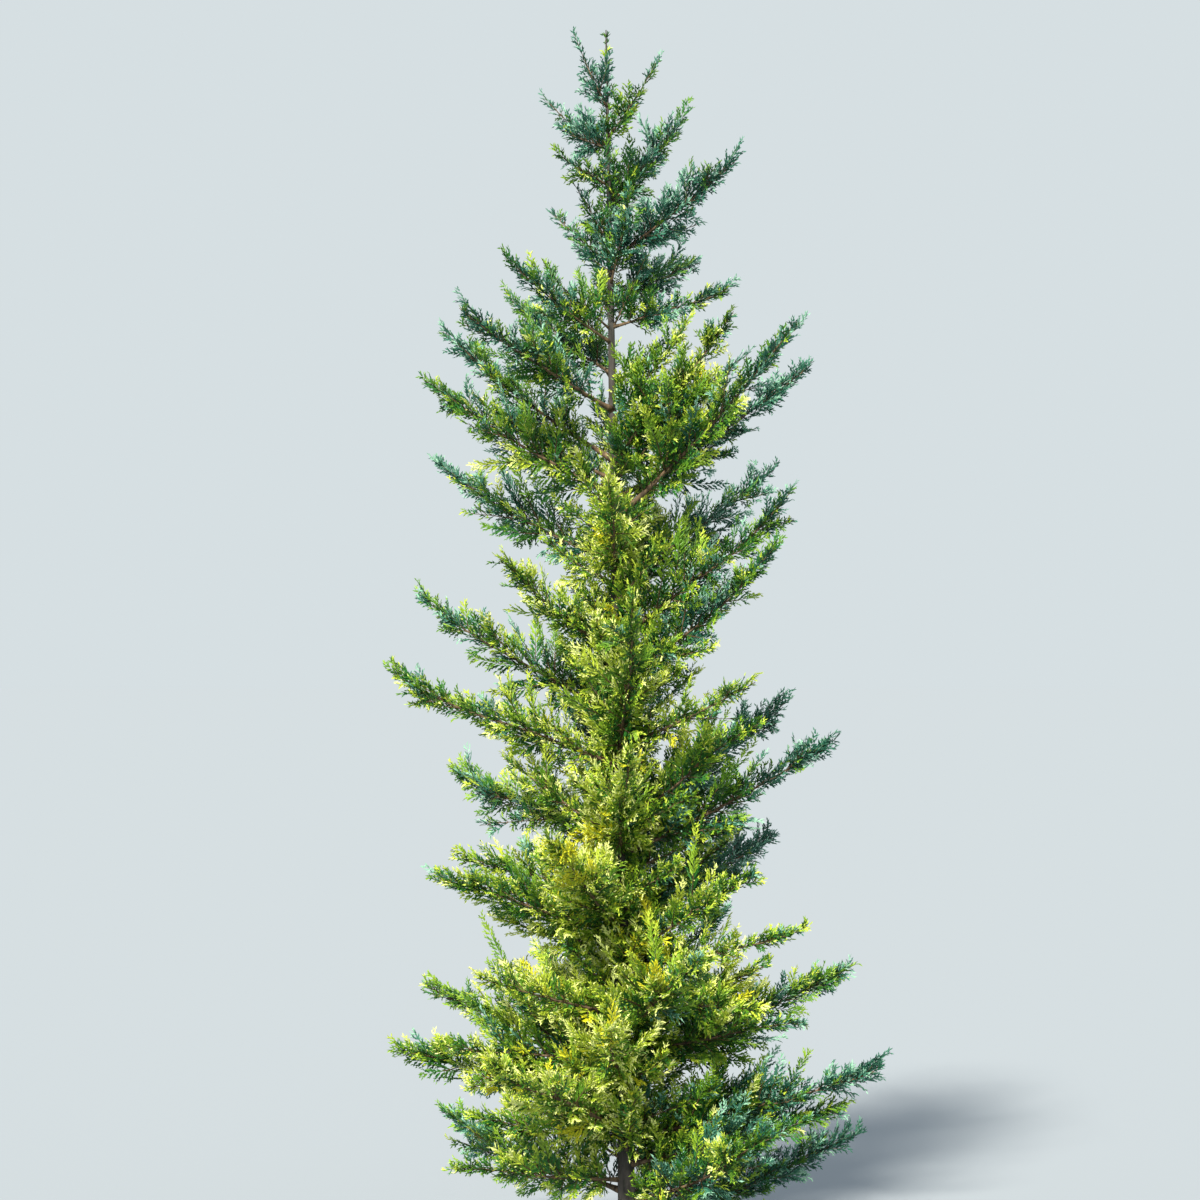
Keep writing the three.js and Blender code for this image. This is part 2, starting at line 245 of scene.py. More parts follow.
COLLAR = 0.5  # swelling at the trunk, as a share of the girth
COLLAR_LENGTH = 0.012
BARE_HEIGHTS = (0.35, 0.45, 1.50, 1.62, 2.00, 2.10)  # where the trunk shows, boughs bear nothing near it
BARE_SHARES = (0.08, 0.0, 0.0, 0.13, 0.13, 0.0)
FORK_FROM = 0.20  # a bough forks once for every pitch of its length past this
FORK_PITCH = 0.09
FORK_SPAN = (0.24, 0.74)
FORK_SHIFT = 0.05
FORK_TURN = (-35, 40)  # degrees over the level
FORK_ANGLE = (30, 46)  # degrees between a fork and its bough
FORK_LENGTH = 0.42  # as a share of its bough, less the nearer it stands to the tip
FORK_LENGTH_POWER = 0.75
FORK_VIGOUR = (0.7, 1.2)
FORK_GIRTH = 0.8  # the most that a fork may have of its bough's girth
FORK_BARE = 0.12
forking = np.random.default_rng(19)

# Each bough: its name, the way that it points in degrees (0 right, 90 away from the eye, 180 left),
# the heights of its foot and its tip, and how far its tip stands out, in metres.
BOUGH_ROWS = [
    ("left_01", 207, 2.345, 2.492, 0.074), ("left_02", 153, 2.262, 2.379, 0.155),
    ("left_03", 230, 2.188, 2.241, 0.170), ("left_04", 140, 2.036, 2.154, 0.162),
    ("left_05", 211, 1.874, 2.042, 0.257), ("left_06", 140, 1.814, 1.990, 0.298),
    ("left_07", 223, 1.740, 1.927, 0.415), ("left_08", 167, 1.640, 1.920, 0.372),
    ("left_09", 190, 1.570, 1.804, 0.394), ("left_10", 150, 1.430, 1.648, 0.436),
    ("left_11", 170, 1.130, 1.376, 0.414), ("left_12", 190, 1.030, 1.222, 0.467),
    ("left_13", 134, 0.895, 0.996, 0.521), ("left_14", 207, 0.695, 0.830, 0.415),
    ("left_15", 155, 0.435, 0.567, 0.447), ("left_16", 190, 0.385, 0.464, 0.471),
    ("left_17", 140, 0.175, 0.266, 0.517),
    ("right_01", 330, 2.285, 2.439, 0.124), ("right_02", 34, 2.150, 2.372, 0.209),
    ("right_03", 330, 2.040, 2.233, 0.304), ("right_04", 48, 1.965, 2.067, 0.297),
    ("right_05", 348, 1.905, 1.984, 0.256), ("right_06", 322, 1.520, 1.904, 0.462),
    ("right_07", 10, 1.560, 1.842, 0.416), ("right_08", 48, 1.400, 1.636, 0.505),
    ("right_09", 333, 1.280, 1.578, 0.398), ("right_10", 328, 1.190, 1.464, 0.375),
    ("right_11", 310, 1.065, 1.209, 0.414), ("right_12", 35, 0.890, 1.157, 0.435),
    ("right_13", 352, 0.850, 1.090, 0.445), ("right_14", 50, 0.720, 0.860, 0.517),
    ("right_15", 327, 0.620, 0.730, 0.430), ("right_16", 8, 0.420, 0.624, 0.477),
    ("right_17", 346, 0.280, 0.448, 0.526), ("right_18", 18, 0.100, 0.262, 0.500),
    ("front_01", 292, 1.990, 2.180, 0.120), ("front_02", 318, 1.640, 1.930, 0.330),
    ("front_03", 228, 1.250, 1.440, 0.338), ("front_04", 276, 1.040, 1.370, 0.330),
    ("front_05", 250, 0.700, 0.920, 0.400), ("front_06", 290, 0.500, 0.700, 0.430),
    ("front_07", 236, 0.300, 0.500, 0.460), ("front_08", 312, 0.150, 0.340, 0.430),
]
LIMBED = ("left_08", "left_11", "left_12", "right_06", "right_07", "right_13", "right_16", "right_17",
          "right_18")

# The far side is filled by a regular ladder of boughs that point to either side of straight back.
BACK_COUNT = 7
BACK_LOW = 0.15
BACK_STEP = 0.33
BACK_SWING = (66, 116)
BACK_RISE = 0.150
BACK_RISE_LOSS = 0.010  # from the lowest to the highest
BACK_REACH = 0.470
BACK_REACH_LOSS = 0.360
for i in range(BACK_COUNT):
    up_share = i / (BACK_COUNT - 1)
    back_foot = BACK_LOW + i * BACK_STEP
    back_rise = BACK_RISE - BACK_RISE_LOSS * up_share
    back_reach = BACK_REACH - BACK_REACH_LOSS * up_share
    BOUGH_ROWS.append((f"back_0{i + 1}", BACK_SWING[i % 2], back_foot, back_foot + back_rise, back_reach))

# Short inner boughs stand between the long ones in a spiral, and fill the heart of the crown.
INNER_LOW = 0.22
INNER_HIGH = 1.60
INNER_COUNT = 80
INNER_TURN = 137.5
INNER_HEIGHTS = (0.0, 0.3, 0.8, 1.2, 1.6, 1.85, 2.1)
INNER_REACHES = (0.28, 0.29, 0.23, 0.18, 0.14, 0.08, 0.05)
INNER_VIGOUR = (0.6, 1.1)
INNER_RISE = (0.35, 0.75)  # as a share of the reach
inner_growth = np.random.default_rng(7)
for i in range(INNER_COUNT):
    inner_foot = INNER_LOW + (INNER_HIGH - INNER_LOW) * i / (INNER_COUNT - 1)
    inner_reach = np.interp(inner_foot, INNER_HEIGHTS, INNER_REACHES) * inner_growth.uniform(*INNER_VIGOUR)
    inner_rise = inner_reach * inner_growth.uniform(*INNER_RISE)
    BOUGH_ROWS.append((f"inner_{i + 1:02d}", (i * INNER_TURN) % 360, inner_foot, inner_foot + inner_rise,
                       inner_reach))

# Lesser boughs that show between the long ones, in the same terms as those.
BOUGH_ROWS += [
    ("inner_left_a", 205, 2.262, 2.298, 0.115), ("inner_left_b", 215, 2.075, 2.190, 0.085),
    ("inner_left_c", 214, 0.530, 0.630, 0.345), ("inner_left_d", 200, 0.200, 0.246, 0.370),
    ("inner_right_a", 335, 1.900, 2.060, 0.085), ("inner_right_b", 320, 1.230, 1.265, 0.250),
    ("inner_right_c", 322, 0.650, 0.840, 0.330), ("inner_right_d", 328, 0.560, 0.560, 0.330),
    ("inner_right_e", 330, 0.230, 0.350, 0.400), ("inner_right_f", 318, 1.600, 1.800, 0.260),
    ("inner_right_g", 350, 1.660, 1.860, 0.290), ("inner_front_a", 300, 1.620, 1.810, 0.210),
    ("inner_right_h", 335, 0.920, 1.130, 0.310), ("inner_front_b", 325, 1.720, 1.930, 0.200),
    ("inner_left_e", 180, 1.600, 1.770, 0.290), ("inner_left_f", 205, 1.900, 2.030, 0.150),
    ("inner_front_c", 268, 1.420, 1.600, 0.260), ("inner_front_d", 262, 1.160, 1.330, 0.290),
    ("inner_front_e", 272, 0.860, 1.080, 0.340), ("inner_front_f", 265, 0.400, 0.560, 0.400),
    ("inner_back_a", 95, 1.620, 1.800, 0.300), ("inner_back_b", 80, 1.300, 1.500, 0.330),
    ("inner_back_c", 105, 0.980, 1.150, 0.360), ("inner_back_d", 88, 0.640, 0.780, 0.380),
    ("inner_back_e", 98, 0.300, 0.420, 0.390), ("inner_back_f", 100, 1.920, 2.060, 0.190),
    ("inner_left_g", 190, 0.660, 0.730, 0.260), ("inner_left_h", 190, 0.760, 0.860, 0.335),
    ("inner_left_i", 200, 0.285, 0.340, 0.330), ("inner_left_j", 196, 0.430, 0.490, 0.385),
    ("inner_right_i", 345, 0.460, 0.530, 0.370), ("inner_right_j", 350, 0.520, 0.640, 0.300),
    ("inner_right_k", 352, 0.250, 0.360, 0.440), ("inner_right_l", 25, 1.790, 1.890, 0.130),
]


def unit(vectors):
    return vectors / np.linalg.norm(vectors, axis=-1, keepdims=True)


class Bough:
    """A limb that sweeps up from the trunk, or from the bough that it forks from, to its tip."""

    def __init__(self, name, start, end, bare, buried, forked_from=None):
        self.name = name
        self.forked_from = forked_from
        self.inner = name.startswith("inner")
        self.bare = bare
        self.buried = buried
        bends = np.random.default_rng(zlib.crc32(name.encode()))
        self.sway = BOUGH_SWAY * np.linalg.norm((end - start)[:2]) * bends.uniform(-1, 1, 3)
        self.phase = bends.uniform(0, 2 * math.pi)
        self.start, self.end = start, end
        self.middle = 0.5 * (start + end)
        self.middle[2] = start[2] + (end[2] - start[2]) * BOUGH_SAG
        fine = self.point(np.linspace(0, 1, LENGTH_POINTS))
        self.length = np.linalg.norm(np.diff(fine, axis=0), axis=1).sum()
        self.girth = max(LEAST_GIRTH, BOUGH_GIRTH * self.length)
        if forked_from:
            self.girth = min(self.girth, FORK_GIRTH * buried)
        self.path = self.point(np.linspace(bare, 1, PATH_POINTS))

    def point(self, share):
        share = np.asarray(share, dtype=float)[..., None]
        swept = (1 - share) ** 2 * self.start + 2 * share * (1 - share) * self.middle + share ** 2 * self.end
        wander = self.sway * share ** SWAY_POWER * (1 - SWAY_CALM * share)
        return swept + wander * np.sin(SWAY_WAVE * share + self.phase)

    def way(self, share):
        share = np.asarray(share, dtype=float)
        return unit(self.point(share + WAY_STEP) - self.point(np.maximum(share - WAY_STEP, 0)))

    def radius(self, share):
        return self.girth * (1 - BOUGH_TAPER * share) * (1 - STEM_TAPER * share ** STEM_TAPER_POWER)


def cross_frame(along):
    """Two directions square to a limb: one level, to its side, and one over it."""
    side = -unit(np.cross(along, UP))
    return side, np.cross(along, side)


def bough_from_trunk(name, swing, foot, tip, reach):
    turn = math.radians(swing)
    out = np.array([math.cos(turn), math.sin(turn), 0.0])
    bare = LIMB_SHARE if name in LIMBED else np.interp(foot, BARE_HEIGHTS, BARE_SHARES)
    return Bough(name, trunk_centre(foot), trunk_centre(tip) + reach * out, bare, trunk_radius(foot))


def forks_of(bough):
    """The side boughs of a long bough, to its left and right by turns and more or less level."""
    count = round((bough.length - FORK_FROM) / FORK_PITCH)
    shares = np.linspace(*FORK_SPAN, count) + forking.uniform(-FORK_SHIFT, FORK_SHIFT, count)
    hand = forking.integers(2)
    forks = []
    for i, share in enumerate(shares):
        stem = bough.way(share)
        side, over = cross_frame(stem)
        turn = math.radians(forking.uniform(*FORK_TURN))
        out = (-1) ** (i + hand) * math.cos(turn) * side + math.sin(turn) * over
        angle = math.radians(forking.uniform(*FORK_ANGLE))
        along = unit(math.cos(angle) * stem + math.sin(angle) * out)
        length = FORK_LENGTH * bough.length * (1 - share) ** FORK_LENGTH_POWER * forking.uniform(*FORK_VIGOUR)
        start = bough.point(share)
        forks.append(Bough(f"{bough.name}_fork_{i + 1}", start, start + length * along, FORK_BARE,
                           bough.radius(share), bough))
    return forks


boughs = [bough_from_trunk(*row) for row in BOUGH_ROWS]
boughs += [fork for bough in boughs if not bough.inner for fork in forks_of(bough)]
bough_points, bough_triangles = [], []
bough_count = 0
bough_turns = 2 * np.pi * np.arange(BOUGH_SIDES) / BOUGH_SIDES
for number, bough in enumerate(boughs):
    rings = max(LEAST_RINGS, round(bough.length / BOUGH_PITCH))
    sunk = BOUGH_SUNK * bough.buried / bough.length
    shares = np.linspace(sunk, BOUGH_END, rings)
    side, over = cross_frame(bough.way(shares))
    for share, centre, sideways, upward in zip(shares, bough.point(shares), side, over):
        past_bark = share * bough.length - bough.buried
        swell = 1 + COLLAR * math.exp(-max(past_bark, 0) / COLLAR_LENGTH)
        ridges = np.array([bark_ridges(turn, share * bough.length, number) for turn in bough_turns])
        radius = bough.radius(share) * swell * (1 + BOUGH_RELIEF * ridges)
        around = np.cos(bough_turns)[:, None] * sideways + np.sin(bough_turns)[:, None] * upward
        bough_points.append(centre + around * radius[:, None])
    bough_triangles.append(tube_triangles(rings, BOUGH_SIDES) + bough_count)
    bough_count += rings * BOUGH_SIDES
bough_bark = bark_material("bough_bark", furrow=srgb(52, 40, 32), ridge=srgb(128, 104, 78),
                           fineness=110, dust=0.12)
limbs = mesh_piece("boughs_bark_relief", np.concatenate(bough_points), np.concatenate(bough_triangles),
                   [bough_bark], smooth=True)
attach(limbs, "root")
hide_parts(*[f"bough_{name}" for name in LIMBED])


# The twigs: side shoots that stand round every bough in five ranks, lean forward and turn up to the
# light. They are woody brown at the bough and green at the tip, and joined in one mesh a side.
PITCH_HEIGHTS = (1.6, 2.0)  # shoots stand closer on the slight boughs aloft
SHOOT_PITCH = (0.0122, 0.0070)
FIRST_SHOOT = 0.9  # where shoots start, as a share of the part that is buried
LAST_SHOOT = 0.985
LEAST_STATIONS = 10
STATION_SWING = 0.9
RANKS = np.radians([90, 18, 306, 234, 162])
RANK_SWING = math.radians(46)
SHOOT_ANGLE = np.radians([66, 24])
SHOOT_SWING = math.radians(34)
SHOOT_LIFT = 0.12
UPWARD = 0.12
SHOOT_LENGTH = 0.40
LONGEST_SHOOT = (0.074, 0.175)
FORK_SHOOT = 0.055  # the least that the longest shoot of a fork may have
SHORTEST_SHOOT = 0.013
LUSH_HEIGHTS = (0.2, 1.0, 1.8, 2.2)  # heights of a bough's foot
LUSH = (0.88, 0.86, 0.80, 0.82)  # how long its shoots are there, for its size
POINTED = (0.55, 0.60, 0.80, 0.90)  # and how soon they shorten to a point
SLENDER = {"right_11": 0.6, "right_15": 0.6}  # boughs whose shoots reach only this share
BY_TRUNK = 0.75  # share of their length that the first shoots have
OUT_FROM_TRUNK = 1.2  # and what the next ones gain
CLUMP_ALONG = 11
CLUMP_ROUND = 0.37
CLUMP_DEPTH = 0.7  # how far shoots lengthen and shorten together
CLUMP_LEAST = 0.2
SHORTEN = 0.9  # a shoot that leaves its mass's space is cut to this share, again and again
SHORTENINGS = 16
TESTED_PARTS = (0.55, 1.0)
TIP_SPRAY = 0.26  # the last share of a bough, which is one spray
TIP_STEM = 0.9  # where on the bough that spray takes its plane from
VIGOUR_SHARE = (0, 0.4, 0.9, 1)  # shares of the shoots that stay short, grow well and outgrow the rest
VIGOUR = (0.3, 0.6, 0.9, 1.3)
SHARED_SPACE = 0.05  # how far neighbouring masses may grow into each other
GROUND_GAP = 0.012
TRUNK_GAP = 0.004
SHOOT_BEND = 0.18
BEND_UP = 0.6
BEND_SWING = 0.6
SPRAY_ROLL = 1.0
PLANE_NUDGE = 1e-3 * np.array([0.3, 0.7, 0.2])  # gives a plane to a shoot that runs on with its stem
growth = np.random.default_rng(41)


def to_path(points, path):
    """Distance from every point to a line of short straight pieces."""
    start, step = path[:-1], np.diff(path, axis=0)
    offset = points[:, None, :] - start
    share = np.clip((offset * step).sum(-1) / (step * step).sum(-1), 0, 1)
    return np.linalg.norm(offset - share[..., None] * step, axis=-1).min(axis=1)


main_paths = [bough.path for bough in boughs if not (bough.inner or bough.forked_from)]


def in_own_space(points, own):
    """True where a point is clear of ground and trunk and belongs to its own bough's mass."""
    clear = points[:, 2] > GROUND_GAP
    from_trunk = np.linalg.norm(points - trunk_centre(np.clip(points[:, 2], 0, TRUNK_HEIGHT)), axis=1)
    clear &= from_trunk > trunk_radius(points[:, 2]) + TRUNK_GAP
    if boughs[own].inner:
        return clear
    mine = to_path(points, boughs[own].path)
    others = np.stack([to_path(points, path) for path in main_paths])
    return clear & (mine < others.min(axis=0) + SHARED_SPACE)


def sprouts(bough):
    """Foot, direction, stem direction and length of every side shoot that a bough could bear."""
    first = bough.bare or FIRST_SHOOT * bough.buried / bough.length
    pitch = np.interp(bough.start[2], PITCH_HEIGHTS, SHOOT_PITCH)
    count = max(LEAST_STATIONS, round((LAST_SHOOT - first) * bough.length / pitch))
    station, rank = np.nonzero((np.arange(count)[:, None] + np.arange(len(RANKS))) % 2 == 0)
    station = station + growth.uniform(0, STATION_SWING, len(station))
    share = first + (LAST_SHOOT - first) * station / count
    stem = bough.way(share)
    side, over = cross_frame(stem)
    turn = RANKS[rank] + RANK_SWING * growth.uniform(-0.5, 0.5, len(rank))
    out = np.cos(turn)[:, None] * side + np.sin(turn)[:, None] * over
    angle = SHOOT_ANGLE[0] + (SHOOT_ANGLE[1] - SHOOT_ANGLE[0]) * share
    angle = angle + SHOOT_SWING * growth.uniform(-0.5, 0.5, len(rank))
    along = unit(np.cos(angle)[:, None] * stem + np.sin(angle)[:, None] * out + SHOOT_LIFT * UP)
    longest = np.clip(SHOOT_LENGTH * bough.length, *LONGEST_SHOOT)
    if bough.forked_from:
        longest = max(SHOOT_LENGTH * bough.length, FORK_SHOOT)
    longest = longest * np.interp(bough.start[2], LUSH_HEIGHTS, LUSH)
    longest = longest * SLENDER.get((bough.forked_from or bough).name, 1)
    point = np.interp(bough.start[2], LUSH_HEIGHTS, POINTED)
    length = longest * (1 - share) ** point * np.minimum(1, BY_TRUNK + OUT_FROM_TRUNK * share)
    clump = [noise.noise(Vector((CLUMP_ALONG * place * bough.length, CLUMP_ROUND * about, bough.length)))
             for place, about in zip(share, turn)]
    length = length * np.maximum(CLUMP_LEAST, 1 + CLUMP_DEPTH * np.array(clump))
    vigour = np.interp(growth.uniform(size=len(rank)), VIGOUR_SHARE, VIGOUR)
    length = length * (1 + UPWARD * out[:, 2]) * vigour
    return bough.point(share), along, stem, length


shoot_parts = []
for number, bough in enumerate(boughs):
    foot, along, stem, length = sprouts(bough)
    own = np.full(len(foot), number)
    room = np.zeros(len(foot))
    for cut in SHORTEN ** np.arange(SHORTENINGS):
        fits = np.ones(len(foot), dtype=bool)
        for part in TESTED_PARTS:
            fits &= in_own_space(foot + along * (part * cut * length)[:, None], number)
        room = np.where((room == 0) & fits, cut * length, room)
    keep = room > SHORTEST_SHOOT
    shoot_parts.append([values[keep] for values in (foot, along, stem, room, own)])
    tip_way = unit(bough.point(1) - bough.point(1 - TIP_SPRAY))
    shoot_parts.append([bough.point([1 - TIP_SPRAY]), tip_way[None], bough.way([TIP_STEM]),
                        np.array([TIP_SPRAY * bough.length]), np.array([number])])

# The trunk bears short shoots of its own, all the way round: long and spreading in the heart of the
# crown, few where the trunk shows, short and upright on the leader.
TRUNK_SHOOTS = [  # lowest and highest foot, pitch, longest shoot and how steeply it rises
    (0.26, 1.62, 0.0064, 0.095, 0.7),
    (1.64, 2.00, 0.0400, 0.040, 1.0),
    (2.02, 2.38, 0.0080, 0.034, 1.1),
    (2.38, 2.49, 0.0140, 0.014, 2.0),
]
TRUNK_SHOOT_VIGOUR = (0.5, 1.2)
TRUNK_SHOOT_LOSS = 0.6  # from the lowest to the highest of a row
for low_end, high_end, pitch, longest, lift in TRUNK_SHOOTS:
    count = round((high_end - low_end) / pitch)
    share = (np.arange(count) + 0.5) / count
    turn = np.arange(count) * math.radians(INNER_TURN)
    out = np.stack([np.cos(turn), np.sin(turn), 0 * turn], axis=1)
    foot = trunk_centre(low_end + (high_end - low_end) * share)
    length = longest * growth.uniform(*TRUNK_SHOOT_VIGOUR, count) * (1 - TRUNK_SHOOT_LOSS * share)
    shoot_parts.append([foot, unit(out + lift * UP), np.tile(UP, (count, 1)), length, np.full(count, -1)])

(shoot_foot, shoot_along, shoot_stem, shoot_length,
 shoot_bough) = [np.concatenate(values) for values in zip(*shoot_parts)]
shoot_count = len(shoot_foot)
in_plane = unit(shoot_stem - (shoot_stem * shoot_along).sum(1)[:, None] * shoot_along + PLANE_NUDGE)
square_on = np.cross(shoot_along, in_plane)
roll = growth.uniform(-SPRAY_ROLL, SPRAY_ROLL, shoot_count)
shoot_across = np.cos(roll)[:, None] * in_plane + np.sin(roll)[:, None] * square_on
shoot_bend = SHOOT_BEND * shoot_length[:, None] * (
    BEND_UP * UP + growth.uniform(-BEND_SWING, BEND_SWING, (shoot_count, 3)))


def on_shoot(which, share):
    """Points on shoots, which bend a little as they run out."""
    share = share[:, None]
    return shoot_foot[which] + share * shoot_along[which] * shoot_length[which][:, None] \
        + share ** 2 * shoot_bend[which]


TWIG_SIDES = 3
TWIG_GIRTH = 0.0006
TWIG_GIRTH_GAIN = 0.0085  # for every metre of length
TWIG_RINGS = ((0.0, 1.0), (0.5, 0.6), (0.97, 0.0))  # shares of the length and of the girth
twig_turns = 2 * np.pi * np.arange(TWIG_SIDES) / TWIG_SIDES
twig_over = np.cross(shoot_along, shoot_across)
twig_girth = TWIG_GIRTH + TWIG_GIRTH_GAIN * shoot_length
twig_around = (np.cos(twig_turns)[None, :, None] * shoot_across[:, None, :]
               + np.sin(twig_turns)[None, :, None] * twig_over[:, None, :])
twig_rings = []
for share, thickness in TWIG_RINGS:
    centre = on_shoot(np.arange(shoot_count), np.full(shoot_count, share))
    around = twig_around if thickness else twig_around[:, :1]
    twig_rings.append(centre[:, None, :] + around * (thickness * twig_girth)[:, None, None])
twig_points = np.concatenate(twig_rings, axis=1)
ring = np.arange(TWIG_SIDES)
beside = (ring + 1) % TWIG_SIDES
next_ring = ring + TWIG_SIDES
beside_next = beside + TWIG_SIDES
tip = 0 * ring + 2 * TWIG_SIDES
twig_faces = np.concatenate([np.stack([ring, beside, beside_next], 1),
                             np.stack([ring, beside_next, next_ring], 1),
                             np.stack([next_ring, beside_next, tip], 1)])
twig_kinds = np.repeat([0, 0, 1], TWIG_SIDES)  # wood on the first half, green on the second


def plain_material(name, colour, roughness, gloss):
    material = bpy.data.materials.new(name)
    material.use_nodes = True
    shader = material.node_tree.nodes["Principled BSDF"]
    shader.inputs["Base Color"].default_value = colour
    shader.inputs["Roughness"].default_value = roughness
    shader.inputs["Specular IOR Level"].default_value = gloss
    return material


twig_colours = [plain_material("twig_wood", srgb(88, 68, 46), roughness=0.8, gloss=0.3),
                plain_material("twig_green", srgb(70, 96, 44), roughness=0.6, gloss=0.4)]
SIDES = ("left", "right", "front", "back")
TRUNK_SHOOT_SIDE = SIDES.index("left")  # the trunk's own shoots go in with one of the sides


def side_of(bough):
    """The side of the crown that a bough is on: its own name's, or the way that an inner one points."""
    if not bough.inner:
        return SIDES.index(bough.name.split("_")[0])
    across, away, _ = bough.end - bough.start
    if abs(across) > abs(away):
        return SIDES.index("left" if across < 0 else "right")
    return SIDES.index("front" if away < 0 else "back")


bough_side = np.array([side_of(bough) for bough in boughs] + [TRUNK_SHOOT_SIDE])
for number, side_name in enumerate(SIDES):
    chosen = np.nonzero(bough_side[shoot_bough] == number)[0]
    offset = (2 * TWIG_SIDES + 1) * np.arange(len(chosen))
    faces = (twig_faces[None] + offset[:, None, None]).reshape(-1, 3)
    kinds = np.tile(twig_kinds, len(chosen))
    twigs = mesh_piece(f"twigs_{side_name}", twig_points[chosen].reshape(-1, 3), faces, twig_colours,
                       kinds, smooth=True)
    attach(twigs, "root")


# The foliage: flat, feathery sprays of scale-leaved cords. Every shoot bears branchlets to either side
# and every branchlet bears short cords, each one a folded sliver, coloured spray by spray.
BRANCHLET_PITCH = 0.0050
LEAST_BRANCHLETS = 4
BRANCHLET_SHIFT = (0.2, 0.8)
BRANCHLET_BARE = 0.06  # the foot of a shoot bears none
BRANCHLET_ANGLE = 38  # degrees from the shoot, at its foot
BRANCHLET_ANGLE_LOSS = 14  # and fewer by these at its tip
BRANCHLET_SWING = 7
BRANCHLET_LIFT = 0.10
BRANCHLET_LENGTH = 0.50  # as a share of the shoot
LONGEST_BRANCHLET = 0.042
SHORTEST_BRANCHLET = 0.009
BRANCHLET_POINTED = 0.45  # how soon they shorten towards the shoot's tip
BRANCHLET_AT_FOOT = 0.5  # share of their length that the first ones have
BRANCHLET_GAIN = 1.6  # and what the next ones gain
BRANCHLET_VIGOUR = (0.5, 1.2)
BRANCHLET_WIDTH = 0.0046
CORD_PITCH = 0.0052
LEAST_CORDS = 2
CORD_FIRST = 0.12
CORD_SPAN = 0.86
CORD_ANGLE = (14, 24)
CORD_LENGTH = (0.009, 0.013)
CORD_AT_FOOT = 1.1  # share of that length at the branchlet's foot
CORD_LOSS = 0.45  # and what is lost towards its tip
CORD_TILT = 0.5
CORD_WIDTH = 0.0034
WIDEST = 0.36  # where a sliver is widest, as a share of its length
FOLD = 0.32  # depth of the fold along a cord, as a share of its width
PLANE_SWING = 0.24  # how far branchlets and cords stray from their spray's plane


def branch_off(along, across, angle, hand, stray):
    """Directions that leave a line to one hand, in the plane of its spray or a little out of it."""
    over = np.cross(along, across)
    return unit(np.cos(angle)[:, None] * along + (np.sin(angle) * hand)[:, None] * across
                + stray[:, None] * over)


def slivers(foot, along, across, length, width):
    """Folded slivers: a foot, two shoulders and a tip each, as points and two triangles."""
    over = np.cross(along, across)
    shoulder = foot + along * (WIDEST * length)[:, None] - over * (FOLD * width)[:, None]
    half = across * (0.5 * width)[:, None]
    tip = foot + along * length[:, None]
    return np.stack([foot, shoulder + half, tip, shoulder - half], axis=1)


per_shoot = np.maximum(LEAST_BRANCHLETS, np.round(shoot_length / BRANCHLET_PITCH)).astype(int)
branch_shoot = np.repeat(np.arange(shoot_count), per_shoot)
branch_index = np.arange(len(branch_shoot)) - np.repeat(np.cumsum(per_shoot) - per_shoot, per_shoot)
branch_share = (branch_index + growth.uniform(*BRANCHLET_SHIFT, len(branch_shoot))) / per_shoot[branch_shoot]
branch_share = BRANCHLET_BARE + (1 - BRANCHLET_BARE) * branch_share
branch_hand = np.where(branch_index % 2 == 0, 1.0, -1.0)
branch_angle = np.radians(BRANCHLET_ANGLE - BRANCHLET_ANGLE_LOSS * branch_share
                          + growth.uniform(-BRANCHLET_SWING, BRANCHLET_SWING, len(branch_shoot)))
branch_along = branch_off(shoot_along[branch_shoot], shoot_across[branch_shoot], branch_angle, branch_hand,
                          growth.normal(0, PLANE_SWING, len(branch_shoot)))
branch_along = unit(branch_along + BRANCHLET_LIFT * UP)
branch_reach = np.minimum(LONGEST_BRANCHLET, BRANCHLET_LENGTH * shoot_length[branch_shoot])
branch_length = (branch_reach * (1 - branch_share) ** BRANCHLET_POINTED
                 * np.minimum(1, BRANCHLET_AT_FOOT + BRANCHLET_GAIN * branch_share))
branch_length = branch_length * growth.uniform(*BRANCHLET_VIGOUR, len(branch_shoot))
branch_length = np.maximum(SHORTEST_BRANCHLET, branch_length)
branch_foot = on_shoot(branch_shoot, branch_share)
branch_over = np.cross(shoot_along[branch_shoot], shoot_across[branch_shoot])
branch_across = unit(np.cross(branch_over, branch_along))

per_branch = np.maximum(LEAST_CORDS, np.round(branch_length / CORD_PITCH)).astype(int)
cord_branch = np.repeat(np.arange(len(branch_shoot)), per_branch)
cord_index = np.arange(len(cord_branch)) - np.repeat(np.cumsum(per_branch) - per_branch, per_branch)
cord_share = CORD_FIRST + CORD_SPAN * (cord_index + 0.5) / per_branch[cord_branch]
cord_hand = np.where(cord_index % 2 == 0, 1.0, -1.0)
cord_angle = np.radians(growth.uniform(*CORD_ANGLE, len(cord_branch)))
cord_along = branch_off(branch_along[cord_branch], branch_across[cord_branch], cord_angle, cord_hand,
                        growth.normal(0, PLANE_SWING, len(cord_branch)))
cord_length = growth.uniform(*CORD_LENGTH, len(cord_branch)) * (CORD_AT_FOOT - CORD_LOSS * cord_share)
cord_reach = cord_share * branch_length[cord_branch]
cord_foot = branch_foot[cord_branch] + branch_along[cord_branch] * cord_reach[:, None]
cord_over = np.cross(branch_along[cord_branch], branch_across[cord_branch])
cord_over = cord_over + growth.normal(0, CORD_TILT, (len(cord_branch), 3))
cord_across = unit(np.cross(cord_over, cord_along))

